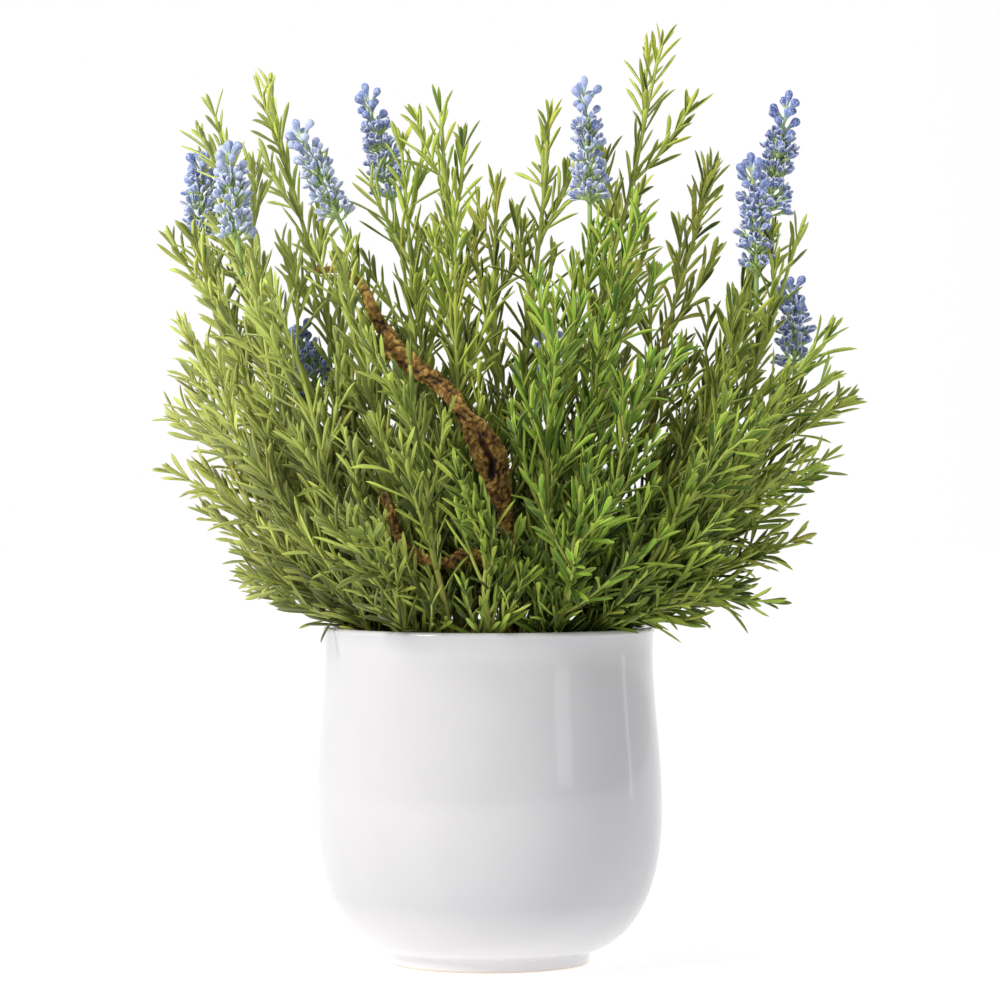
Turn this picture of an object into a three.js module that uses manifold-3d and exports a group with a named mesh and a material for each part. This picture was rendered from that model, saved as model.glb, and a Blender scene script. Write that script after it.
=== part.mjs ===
// Potted rosemary: a glazed stoneware pot filled with potting soil, a gnarled woody trunk, leafy sprigs
// in the soil, and blue flower spikes that grow from the tips of some of the sprigs.
// Millimetres, +Z up. The origin is on the pot's axis, on the surface that the pot stands on.
import * as THREE from "three";
import { mergeVertices } from "three/addons/utils/BufferGeometryUtils.js";
import Module from "manifold-3d";

const wasm = await Module();
wasm.setup();

// ---------------------------------------------------------------- driving dimensions
const CLEARANCE = 0.3; // between pieces that touch
const HOLE_ROOM = 0.5; // how much wider the radius of a hole in the soil is than the stem's
const MERGE_STEP = 0.08; // flats nearer to one plane than this are merged
const POT = {
  height: 135,
  rimRadius: 66.5,
  neckRadius: 65.6, // just under the lip
  neckDrop: 9, // from the lip down to the neck
  bellyRadius: 69.6,
  bellyHeight: 60,
  footRadius: 40,
  footHeight: 5,
  footChamfer: 1.2,
  footStep: 1.5, // the body overhangs the foot ring by this much
  wall: 4.2,
  floor: 7,
  innerCorner: 8, // between the inner wall and the floor
  segments: 32,
};
// The soil is highest in the middle of the pot, and its edge is lower by the crown.
const SOIL = { level: 127, crown: 3, sideGap: 0.5, plantingDepth: 9 };
const STEM = { footRadius: 1.6, tipRadius: 0.9, sides: 4, steps: 5, leafStart: 0.3 };
// The side shoots of a stem start at the lowest share of its length, and the next is farther up by apart.
const SIDE_SHOOT = {
  radius: 0.8,
  length: 32,
  spread: 26,
  sides: 3,
  count: 2,
  lowest: 0.4,
  apart: 0.25,
  leafStart: 0.55,
};
// Widest is a share of the leaf's length, and spread is its angle from the stem in degrees.
const LEAF = { length: 22, width: 4.6, fold: 1.4, widest: 0.58, spread: 27, pairGap: 36 };
const TIP_LEAF = { length: 18, spread: 14 };
// The florets stand in whorls, and stalk is the share of the spike's length that is bare.
const SPIKE = {
  stalk: 0.34,
  whorls: 3,
  radius: 6.8,
  waist: 0.5,
  topRadius: 3,
  stalkRadius: 1,
  sides: 7,
  tipGap: 1.3, // between the sprig's tip and the spike's base
};
const GOLDEN_ANGLE = 137.5;
const MOST_TRIES = 6; // to find room for a shoot or a leaf

// Leafy sprigs: where each is planted (x, y), its tip (x, y, z), and its bow.
// A sprig with a positive bow leans out first and then rises, and one with a negative bow arches over.
const SPRIGS = [
  [-32, -12, -85, -26, 153, -0.2],
  [-36, -4, -112, -15, 197, -0.04],
  [-37, 5, -117, 20, 224, 0],
  [-34, -20, -116, -38, 246, 0.06],
  [-27, -2, -118, 0, 290, 0.12],
  [-30, 12, -115, 34, 318, 0.1],
  [-20, -8, -109, -10, 338, 0.08],
  [-20, 2, -88, 12, 350, 0.08],
  [-24, -22, -82, -58, 265, 0.12],
  [-16, -17, -57, -44, 280, 0.1],
  [-10, 0, -35, -5, 326, 0.04],
  [-5, -16, -19, -28, 338, -0.04],
  [1, 6, 3, 25, 308, 0.04],
  [8, 0, 24, 6, 336, -0.04],
  [17, -6, 57, -28, 302, 0.06],
  [17, 3, 69, 6, 367, -0.03],
  [22, 11, 90, 22, 316, 0.08],
  [33, 0, 123, -6, 290, 0.14],
  [26, -13, 129, -26, 248, 0.08],
  [38, 5, 131, 14, 222, 0],
  [33, -15, 120, -46, 200, -0.06],
  [31, -8, 108, -26, 164, -0.14],
  [20, -14, 88, -50, 152, -0.24],
  [-12, -42, -30, -76, 238, 0.1],
  [20, -30, 26, -62, 262, 0.08],
  [18, -22, 61, -68, 237, 0.08],
  [24, -36, 36, -90, 182, -0.04],
  [29, -26, 100, -70, 217, 0.02],
  [0, -46, 0, -86, 188, 0],
  [-24, -36, -50, -84, 168, -0.15],
  [-6, 20, -18, 72, 305, 0.08],
  [20, 20, 62, 62, 310, 0.08],
  [30, 22, 106, 62, 230, 0.04],
  [-33, 18, -103, 60, 230, 0.04],
  [-14, 34, -40, 104, 196, -0.04],
  [14, 34, 42, 104, 196, -0.04],
];
// Sprigs that carry a flower spike: as above, then the spike's length and its lean to the right in degrees.
const FLOWERING_SPRIGS = [
  [-26, -10, -97, -30, 276, 0.14, 50, -6],
  [-28, 5, -114, 14, 280, 0.12, 44, -2],
  [-12, -8, -54, -12, 284, 0.06, 56, -24],
  [-10, 9, -36, 26, 290, 0.06, 64, -13],
  [10, -9, 40, -16, 286, 0.02, 66, -2],
  [26, 5, 111, 22, 284, 0.12, 66, 9],
  [25, -5, 106, -12, 262, 0.08, 60, -2],
  [34, 13, 124, 26, 224, 0, 50, -2],
  [-18, 11, -65, 4, 216, 0.04, 40, -18],
  [6, 26, 20, 90, 208, 0.04, 46, 6],
];
// The woody trunk and its branch: centreline points with the radius at each.
const TRUNK = [
  [8, -34, 112, 6],
  [8, -38, 148, 4.2],
  [7, -42, 176, 3.4],
  [4, -46, 190, 5.2],
  [-1, -47, 205, 7.2],
  [-10, -44, 219, 5],
  [-20, -40, 231, 4.1],
  [-35, -36, 243, 4.2],
  [-44, -30, 257, 3],
  [-49, -26, 268, 2.1],
  [-58, -20, 276, 1.8],
  [-70, -14, 276, 1.3],
];
const TRUNK_BRANCH = [
  [7, -38, 156, 3.2],
  [-6, -44, 164, 3.6],
  [-19, -48, 161, 2.8],
  [-32, -50, 167, 2.7],
  [-38, -52, 180, 2.4],
  [-41, -52, 189, 1.6],
];
const TRUNK_STUB = [
  [-34, -36, 242, 3],
  [-40, -42, 242, 2.2],
  [-45, -46, 241, 1.5],
];
const TRUNK_SIDES = 7;
const TRUNK_STEPS = 22;
const TRUNK_BRANCH_STEPS = 11;
const TRUNK_STUB_STEPS = 3;

// ---------------------------------------------------------------- materials
const material = (color, roughness) => new THREE.MeshStandardMaterial({ color, roughness, metalness: 0 });
const GLAZE = material(0xf2f2f2, 0.12);
const SOIL_BROWN = material(0x2c211a, 0.95);
const BARK = material(0x7a5a35, 0.85);
const FOLIAGE = material(0x7f9a3c, 0.6);
const FLOWER_BLUE = material(0x6f86c4, 0.65);

// ---------------------------------------------------------------- solids
// A closed three.js geometry as a manifold-3d solid.
function toSolid(geometry) {
  const bare = new THREE.BufferGeometry();
  bare.setAttribute("position", geometry.getAttribute("position"));
  bare.setIndex(geometry.getIndex());
  const merged = mergeVertices(bare, 1e-3);
  const mesh = new wasm.Mesh({
    numProp: 3,
    vertProperties: new Float32Array(merged.getAttribute("position").array),
    triVerts: new Uint32Array(merged.getIndex().array),
  });
  return new wasm.Manifold(mesh);
}

function toMesh(name, solid, surface) {
  const { vertProperties, triVerts } = solid.getMesh();
  const geometry = new THREE.BufferGeometry();
  geometry.setAttribute("position", new THREE.BufferAttribute(vertProperties, 3));
  geometry.setIndex(new THREE.BufferAttribute(triVerts, 1));
  const flat = geometry.toNonIndexed();
  flat.computeVertexNormals();
  const mesh = new THREE.Mesh(flat, surface);
  mesh.name = name;
  return mesh;
}

// A round bar bent along a curve, whose radius changes along it. Its foot may reach back past the start.
function bentBar(curve, radiusAt, steps, sides, footReach = 0) {
  const bar = new THREE.CylinderGeometry(1, 1, 1, sides, steps);
  const frames = curve.computeFrenetFrames(steps, false);
  const position = bar.getAttribute("position");
  for (let i = 0; i < position.count; i++) {
    const step = Math.round((position.getY(i) + 0.5) * steps);
    const radius = radiusAt(step / steps);
    const point = curve.getPointAt(step / steps);
    if (step === 0) point.addScaledVector(frames.tangents[0], -footReach);
    point.addScaledVector(frames.binormals[step], position.getX(i) * radius);
    point.addScaledVector(frames.normals[step], position.getZ(i) * radius);
    position.setXYZ(i, point.x, point.y, point.z);
  }
  return toSolid(bar);
}

// A turned solid about +Z: the profile's points are (radius, height).
function turned(profile, segments) {
  const lathe = new THREE.LatheGeometry(profile, segments);
  lathe.rotateX(Math.PI / 2);
  return toSolid(lathe);
}

// ---------------------------------------------------------------- pot and soil
const corner = (x, y) => new THREE.Vector2(x, y);
const neckHeight = POT.height - POT.neckDrop;
const bellyCurve = new THREE.CubicBezierCurve(
  corner(POT.footRadius + POT.footStep, POT.footHeight),
  corner(POT.footRadius * 1.43, POT.footHeight * 2),
  corner(POT.bellyRadius, POT.bellyHeight * 0.5),
  corner(POT.bellyRadius, POT.bellyHeight),
);
const wallCurve = new THREE.CubicBezierCurve(
  corner(POT.bellyRadius, POT.bellyHeight),
  corner(POT.bellyRadius, THREE.MathUtils.lerp(POT.bellyHeight, neckHeight, 0.38)),
  corner(POT.neckRadius, THREE.MathUtils.lerp(POT.bellyHeight, neckHeight, 0.67)),
  corner(POT.neckRadius, neckHeight),
);
const outerWall = [...bellyCurve.getPoints(6), ...wallCurve.getPoints(3).slice(1)];
const lipRadius = POT.wall / 2;
const lipCentre = corner(POT.rimRadius - lipRadius, POT.height - lipRadius);
const lip = [0, 60, 120, 180].map((angle) => {
  const turn = THREE.MathUtils.degToRad(angle);
  return corner(lipCentre.x + lipRadius * Math.cos(turn), lipCentre.y + lipRadius * Math.sin(turn));
});
const innerWall = outerWall
  .filter((point) => point.y > POT.floor + POT.wall)
  .map((point) => corner(point.x - POT.wall, point.y))
  .reverse();
const potProfile = [
  corner(0, 0),
  corner(POT.footRadius - POT.footChamfer, 0),
  corner(POT.footRadius, POT.footChamfer),
  ...outerWall,
  ...lip,
  ...innerWall,
  corner(innerWall.at(-1).x - POT.innerCorner, POT.floor),
  corner(0, POT.floor),
];
const pot = toMesh("pot", turned(potProfile, POT.segments), GLAZE);

const soilEdge = corner(POT.neckRadius - POT.wall - SOIL.sideGap, SOIL.level - SOIL.crown);
const soilSide = innerWall
  .filter((point) => point.y < soilEdge.y - SOIL.crown)
  .map((point) => corner(point.x - SOIL.sideGap, point.y))
  .reverse();
const soilProfile = [
  corner(0, POT.floor + CLEARANCE),
  corner(soilSide[0].x - POT.innerCorner - SOIL.sideGap, POT.floor + CLEARANCE),
  ...soilSide,
  soilEdge,
  corner(soilEdge.x / 2, SOIL.level - SOIL.crown / 4),
  corner(0, SOIL.level),
];

// ---------------------------------------------------------------- room for each piece
// Every stem, shoot and leaf is kept as a capsule, so that a new one can be put where nothing else is.
const capsules = [];

// The shortest distance between the line from a to b and the line from c to d.
function segmentGap(a, b, c, d) {
  const u = b.clone().sub(a);
  const v = d.clone().sub(c);
  const w = a.clone().sub(c);
  const uu = u.dot(u);
  const uv = u.dot(v);
  const vv = v.dot(v);
  const uw = u.dot(w);
  const vw = v.dot(w);
  const det = uu * vv - uv * uv;
  let s = det > 1e-9 ? THREE.MathUtils.clamp((uv * vw - vv * uw) / det, 0, 1) : 0;
  const t = THREE.MathUtils.clamp((uv * s + vw) / vv, 0, 1);
  s = THREE.MathUtils.clamp((uv * t - uw) / uu, 0, 1);
  return a.clone().addScaledVector(u, s).distanceTo(c.clone().addScaledVector(v, t));
}

function meetsAnother(a, b, radius, owner) {
  const others = capsules.filter((other) => other.owner !== owner);
  return others.some((other) => segmentGap(a, b, other.a, other.b) < other.radius + radius + CLEARANCE);
}

function keep(a, b, radius, owner) {
  capsules.push({ a, b, radius, owner });
}

// Whether a capsule passes through the pot's rim or wall, looked at in a few places along it.
function meetsPot(a, b, radius) {
  const room = radius + CLEARANCE;
  const inside = POT.neckRadius - POT.wall - room;
  const outside = POT.bellyRadius + room;
  return [0, 0.2, 0.4, 0.6, 0.8, 1].some((share) => {
    const { x, y, z } = a.clone().lerp(b, share);
    const out = Math.hypot(x, y);
    return out > inside && out < outside && z < POT.height + room;
  });
}

const meetsSoil = (a, b, radius) => Math.min(a.z, b.z) - radius < SOIL.level + CLEARANCE;

// Whether a shoot or leaf would have to pass through something that is already there.
const isBlocked = (a, b, radius, owner) =>
  meetsPot(a, b, radius) || meetsSoil(a, b, radius) || meetsAnother(a, b, radius, owner);

// ---------------------------------------------------------------- stems
// A direction at an angle from an axis, turned about that axis.
function fannedFrom(axis, spread, turn) {
  const side = new THREE.Vector3(1, 0, 0).cross(axis).normalize();
  side.applyAxisAngle(axis, THREE.MathUtils.degToRad(turn));
  const tilt = THREE.MathUtils.degToRad(spread);
  return axis.clone().multiplyScalar(Math.cos(tilt)).addScaledVector(side, Math.sin(tilt));
}

function stemCurve([footX, footY, x, y, z, bow]) {
  const tip = new THREE.Vector3(x, y, z);
  const foot = new THREE.Vector3(footX, footY, SOIL.level - SOIL.plantingDepth);
  const bend = foot.clone().lerp(tip, 0.5);
  bend.x += (x - foot.x) * bow;
  bend.y += (y - foot.y) * bow;
  bend.z -= (z - foot.z) * bow;
  return new THREE.QuadraticBezierCurve3(foot, bend, tip);
}

const stemRadius = (share) => THREE.MathUtils.lerp(STEM.footRadius, STEM.tipRadius, share);

function makeStem(row, name) {
  const curve = stemCurve(row);
  const points = curve.getSpacedPoints(STEM.steps);
  points.slice(1).forEach((point, i) => {
    const [a, b, radius] = [points[i], point, STEM.footRadius];
    if (meetsAnother(a, b, radius, name) || meetsPot(a, b, radius)) throw new Error(`${name} has no room`);
    keep(a, b, radius, name);
  });
  return { name, curve, bars: [bentBar(curve, stemRadius, STEM.steps, STEM.sides)], shoots: [] };
}

// Short shoots that branch from the upper part of a stem. Where another piece is in the way, a shoot is
// turned about the stem until it has room, and left out if it finds none.
function addSideShoots(sprig, phase) {
  for (let i = 0; i < SIDE_SHOOT.count; i++) {
    const share = SIDE_SHOOT.lowest + SIDE_SHOOT.apart * i;
    const from = sprig.curve.getPointAt(share);
    const axis = sprig.curve.getTangentAt(share);
    for (let tries = 0; tries < MOST_TRIES; tries++) {
      const turn = (i + phase + 2 * tries) * GOLDEN_ANGLE;
      const direction = fannedFrom(axis, SIDE_SHOOT.spread, turn);
      const to = from.clone().addScaledVector(direction, SIDE_SHOOT.length);
      const start = from.clone().lerp(to, 0.1);
      const radius = SIDE_SHOOT.radius;
      if (isBlocked(start, to, radius, sprig.name)) continue;
      const shoot = new THREE.LineCurve3(from, to);
      sprig.bars.push(bentBar(shoot, () => radius, 1, SIDE_SHOOT.sides));
      sprig.shoots.push(shoot);
      keep(start, to, radius, sprig.name);
      break;
    }
  }
}

// ---------------------------------------------------------------- leaves
// A pointed blade folded along its midrib: the keel runs from root to tip and the two edges stand above it.
function leafBlade(root, direction, axis, length) {
  const half = LEAF.width / 2;
  const widest = LEAF.widest * length;
  const corners = [0, 0, 0, 0, length, 0, -half, widest, LEAF.fold, half, widest, LEAF.fold];
  const blade = new THREE.BufferGeometry();
  blade.setAttribute("position", new THREE.Float32BufferAttribute(corners, 3));
  blade.setIndex([0, 2, 1, 1, 3, 0, 0, 3, 2, 1, 2, 3]);
  const across = new THREE.Vector3().crossVectors(direction, axis).normalize();
  const upper = new THREE.Vector3().crossVectors(across, direction);
  blade.applyMatrix4(new THREE.Matrix4().makeBasis(across, direction, upper).setPosition(root));
  return toSolid(blade);
}

// A leaf that would meet another piece is turned about the stem, by more each time and to either side.
function addLeaf(sprig, curve, share, turn, length, spread) {
  const axis = curve.getTangentAt(share);
  const root = curve.getPointAt(share);
  const halfWidth = LEAF.width / 2;
  for (let tries = 0; tries < MOST_TRIES; tries++) {
    const aside = 20 * tries * (tries % 2 ? 1 : -1);
    const direction = fannedFrom(axis, spread, turn + aside);
    const start = root.clone().addScaledVector(direction, 0.2 * length);
    const tip = root.clone().addScaledVector(direction, length);
    if (isBlocked(start, tip, halfWidth, sprig.name)) continue;
    sprig.bars.push(leafBlade(root, direction, axis, length));
    keep(start, tip, halfWidth, sprig.name);
    return;
  }
}

// Pairs of opposite leaves along a stem or shoot, each pair turned a quarter from the one below it.
function addLeaves(sprig, curve, leafStart) {
  const pairs = Math.max(1, Math.floor((curve.getLength() * (1 - leafStart)) / LEAF.pairGap));
  for (let pair = 0; pair < pairs; pair++) {
    const share = THREE.MathUtils.lerp(leafStart, 1, pair / pairs);
    const length = LEAF.length * (0.85 + 0.15 * Math.sin(5 * pair));
    addLeaf(sprig, curve, share, 90 * pair + 40, length, LEAF.spread);
    addLeaf(sprig, curve, share, 90 * pair + 220, length, LEAF.spread);
  }
  addLeaf(sprig, curve, 0.97, 0, TIP_LEAF.length, TIP_LEAF.spread);
}

// ---------------------------------------------------------------- flower spikes
// Whorls of florets round a stalk, as one turned body: it swells at each whorl and closes to a bud on top.
function spikeProfile(length) {
  const bloomStart = length * SPIKE.stalk;
  const whorl = (length - bloomStart) / (SPIKE.whorls + 1);
  const points = [corner(0, 0), corner(SPIKE.stalkRadius, 0), corner(SPIKE.stalkRadius, bloomStart)];
  for (let i = 0; i < SPIKE.whorls; i++) {
    const radius = THREE.MathUtils.lerp(SPIKE.radius, SPIKE.topRadius, i / SPIKE.whorls);
    const base = bloomStart + whorl * i;
    points.push(corner(radius, base + whorl * 0.55), corner(radius * SPIKE.waist, base + whorl));
  }
  points.push(corner(SPIKE.topRadius, length - whorl * 0.4), corner(0, length));
  return points;
}

function makeSpike(row, index) {
  const [, , x, y, z, , length, lean] = row;
  const name = `flower_spike_${String(index + 1).padStart(2, "0")}`;
  const axis = new THREE.Vector3(0, 0, 1).applyEuler(new THREE.Euler(0, THREE.MathUtils.degToRad(lean), 0));
  const base = new THREE.Vector3(x, y, z).addScaledVector(axis, SPIKE.tipGap);
  const bloomStart = base.clone().addScaledVector(axis, length * SPIKE.stalk);
  const top = base.clone().addScaledVector(axis, length - SPIKE.topRadius);
  if (meetsAnother(bloomStart, top, SPIKE.radius, name)) throw new Error(`${name} has no room`);
  keep(base, bloomStart, SPIKE.stalkRadius, name);
  keep(bloomStart, top, SPIKE.radius, name);
  const lathe = new THREE.LatheGeometry(spikeProfile(length), SPIKE.sides);
  lathe.applyQuaternion(new THREE.Quaternion().setFromUnitVectors(new THREE.Vector3(0, 1, 0), axis));
  lathe.translate(base.x, base.y, base.z);
  return toMesh(name, toSolid(lathe), FLOWER_BLUE);
}

// ---------------------------------------------------------------- woody trunk
function woodyLimb(rows, steps) {
  const curve = new THREE.CatmullRomCurve3(rows.map(([x, y, z]) => new THREE.Vector3(x, y, z)));
  const radiusAt = (share) => {
    const place = curve.getUtoTmapping(share) * (rows.length - 1);
    const below = Math.min(Math.floor(place), rows.length - 2);
    return THREE.MathUtils.lerp(rows[below][3], rows[below + 1][3], place - below);
  };
  const points = curve.getSpacedPoints(steps);
  points.slice(1).forEach((point, i) => keep(points[i], point, radiusAt((i + 1) / steps), "woody_trunk"));
  return { curve, radiusAt, bar: bentBar(curve, radiusAt, steps, TRUNK_SIDES) };
}

// ---------------------------------------------------------------- assembly
const plant = new THREE.Group();
plant.add(pot);

const mainLimb = woodyLimb(TRUNK, TRUNK_STEPS);
const lowBranch = woodyLimb(TRUNK_BRANCH, TRUNK_BRANCH_STEPS);
const stub = woodyLimb(TRUNK_STUB, TRUNK_STUB_STEPS);
plant.add(toMesh("woody_trunk", mainLimb.bar.add(lowBranch.bar).add(stub.bar), BARK));

const sprigs = [...SPRIGS, ...FLOWERING_SPRIGS].map((row, i) =>
  makeStem(row, `sprig_${String(i + 1).padStart(2, "0")}`),
);
FLOWERING_SPRIGS.forEach((row, i) => plant.add(makeSpike(row, i)));

// Each stem and the trunk stand in a hole in the soil that is a little wider and deeper than they are.
const trunkHole = bentBar(
  mainLimb.curve,
  (share) => mainLimb.radiusAt(share) + HOLE_ROOM,
  TRUNK_STEPS,
  TRUNK_SIDES,
  HOLE_ROOM,
);
const soil = sprigs.reduce((earth, { curve }) => {
  const hole = bentBar(curve, (share) => stemRadius(share) + HOLE_ROOM, STEM.steps, STEM.sides, HOLE_ROOM);
  return earth.subtract(hole);
}, turned(soilProfile, POT.segments).subtract(trunkHole));
plant.add(toMesh("potting_soil", soil, SOIL_BROWN));

sprigs.forEach((sprig, i) => addSideShoots(sprig, i));
for (const sprig of sprigs) {
  addLeaves(sprig, sprig.curve, STEM.leafStart);
  sprig.shoots.forEach((shoot) => addLeaves(sprig, shoot, SIDE_SHOOT.leafStart));
  const whole = sprig.bars.reduce((joined, bar) => joined.add(bar));
  plant.add(toMesh(sprig.name, whole.simplify(MERGE_STEP), FOLIAGE));
}

export default plant;
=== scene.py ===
# Potted rosemary: the finished look of each piece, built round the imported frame.
# Metres, +Z up, front on -Y. Tables of positions are in millimetres, as in the part's own source.
import math

import bpy
import numpy as np
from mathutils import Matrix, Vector, noise


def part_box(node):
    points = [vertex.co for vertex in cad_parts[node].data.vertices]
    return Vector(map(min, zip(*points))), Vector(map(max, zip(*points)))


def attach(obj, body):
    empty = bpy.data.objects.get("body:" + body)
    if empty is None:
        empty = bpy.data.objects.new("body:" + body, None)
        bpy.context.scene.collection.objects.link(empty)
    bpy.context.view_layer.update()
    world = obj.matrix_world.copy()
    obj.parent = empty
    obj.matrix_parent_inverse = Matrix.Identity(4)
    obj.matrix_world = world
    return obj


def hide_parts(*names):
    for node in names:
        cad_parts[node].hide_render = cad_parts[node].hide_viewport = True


MM = 0.001
SEED = 41
SPIKE_SEED, SOIL_SEED = SEED + 500, SEED + 900

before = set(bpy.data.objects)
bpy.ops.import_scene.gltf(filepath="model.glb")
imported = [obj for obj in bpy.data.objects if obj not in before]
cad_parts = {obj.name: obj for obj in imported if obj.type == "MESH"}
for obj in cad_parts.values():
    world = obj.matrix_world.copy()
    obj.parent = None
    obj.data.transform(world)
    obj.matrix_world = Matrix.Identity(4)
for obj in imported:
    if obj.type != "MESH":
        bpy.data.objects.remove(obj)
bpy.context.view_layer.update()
scene = bpy.context.scene

# ---------------------------------------------------------------- where things grow
# Leafy sprigs: where each is planted (x, y), its tip (x, y, z), its bow, and how fresh a green it is.
SPRIGS = [
    (-32, -12, -85, -26, 153, -0.2, 0.3),
    (-36, -4, -112, -15, 197, -0.04, 0.1),
    (-37, 5, -117, 20, 224, 0, 0.1),
    (-34, -20, -116, -38, 246, 0.06, 0.3),
    (-27, -2, -118, 0, 290, 0.12, 0.2),
    (-30, 12, -115, 34, 318, 0.1, 0.1),
    (-20, -8, -109, -10, 338, 0.08, 0.3),
    (-20, 2, -88, 12, 350, 0.08, 0.3),
    (-24, -22, -82, -58, 265, 0.12, 0.4),
    (-16, -17, -57, -44, 280, 0.1, 0.3),
    (-10, 0, -35, -5, 326, 0.04, 0.4),
    (-5, -16, -19, -28, 338, -0.04, 0.4),
    (1, 6, 3, 25, 308, 0.04, 0.1),
    (8, 0, 24, 6, 336, -0.04, 0.2),
    (17, -6, 57, -28, 302, 0.06, 0.8),
    (17, 3, 69, 6, 367, -0.03, 0.2),
    (22, 11, 90, 22, 316, 0.08, 0.1),
    (33, 0, 123, -6, 290, 0.14, 0.3),
    (26, -13, 129, -26, 248, 0.08, 0.4),
    (38, 5, 131, 14, 222, 0, 0.2),
    (33, -15, 120, -46, 200, -0.06, 0.4),
    (31, -8, 108, -26, 164, -0.14, 0.3),
    (20, -14, 88, -50, 152, -0.24, 0.5),
    (-12, -42, -30, -76, 238, 0.1, 0.4),
    (20, -30, 26, -62, 262, 0.08, 0.9),
    (18, -22, 61, -68, 237, 0.08, 1.0),
    (24, -36, 36, -90, 182, -0.04, 0.9),
    (29, -26, 100, -70, 217, 0.02, 0.6),
    (0, -46, 0, -86, 188, 0, 0.6),
    (-24, -36, -50, -84, 168, -0.15, 0.4),
    (-6, 20, -18, 72, 305, 0.08, 0.1),
    (20, 20, 62, 62, 310, 0.08, 0.1),
    (30, 22, 106, 62, 230, 0.04, 0.2),
    (-33, 18, -103, 60, 230, 0.04, 0.1),
    (-14, 34, -40, 104, 196, -0.04, 0.3),
    (14, 34, 42, 104, 196, -0.04, 0.3),
]
# Sprigs that carry a flower spike: as above, then the spike's length, its lean in degrees, and how pale
# its blue is.
FLOWERING_SPRIGS = [
    (-26, -10, -97, -30, 276, 0.14, 0.3, 50, -6, 0.75),
    (-28, 5, -114, 14, 280, 0.12, 0.2, 44, -2, 0.3),
    (-12, -8, -54, -12, 284, 0.06, 0.4, 56, -24, 0.85),
    (-10, 9, -36, 26, 290, 0.06, 0.2, 64, -13, 0.25),
    (10, -9, 40, -16, 286, 0.02, 0.5, 66, -2, 0.5),
    (26, 5, 111, 22, 284, 0.12, 0.2, 66, 9, 0.1),
    (25, -5, 106, -12, 262, 0.08, 0.3, 60, -2, 0.25),
    (34, 13, 124, 26, 224, 0, 0.2, 50, -2, 0.2),
    (-18, 11, -65, 4, 216, 0.04, 0.2, 40, -18, 0.1),
    (6, 26, 20, 90, 208, 0.04, 0.3, 46, 6, 0.4),
]
# The woody trunk: centreline points with the radius at each.
TRUNK = [
    (8, -34, 112, 6),
    (8, -38, 148, 4.2),
    (7, -42, 176, 3.4),
    (4, -46, 190, 5.2),
    (0, -47, 204, 7.8),
    (-9, -45, 218, 4.4),
    (-18, -41, 230, 3.9),
    (-34, -36, 242, 4.3),
    (-44, -30, 257, 3),
    (-49, -26, 268, 2.1),
    (-58, -20, 276, 1.8),
    (-70, -14, 276, 1.3),
]
TRUNK_BRANCH = [
    (7, -38, 156, 3.2),
    (-6, -44, 164, 3.6),
    (-19, -48, 161, 2.8),
    (-32, -50, 167, 2.7),
    (-38, -52, 180, 2.4),
    (-41, -52, 189, 1.6),
]
TRUNK_STUB = [
    (-34, -36, 242, 3),
    (-40, -42, 242, 2.2),
    (-45, -46, 241, 1.5),
]
PLANTED_AT = 118  # the height of a stem's lower end, under the soil's surface

# ---------------------------------------------------------------- sizes that several pieces share, in metres
_, pot_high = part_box("pot")
soil_low, soil_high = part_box("potting_soil")
BELLY_RADIUS, POT_TOP = pot_high.x, pot_high.z
SOIL_FLOOR, SOIL_TOP = soil_low.z, soil_high.z
LIP_RADIUS = 66.5 * MM
NECK_RADIUS = 65.6 * MM
WALL = 4.2 * MM
POT_INSIDE = NECK_RADIUS - WALL


# ---------------------------------------------------------------- mesh making
CELL_MARGIN = 0.06  # the gap round a cell's contents in the bake map, as a share of the cell
LONE_CELL_MARGIN = 0.01
CURVE_STEPS = 24  # between two points of a rounded path


def unit(vectors):
    return vectors / np.linalg.norm(vectors, axis=-1, keepdims=True)


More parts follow.
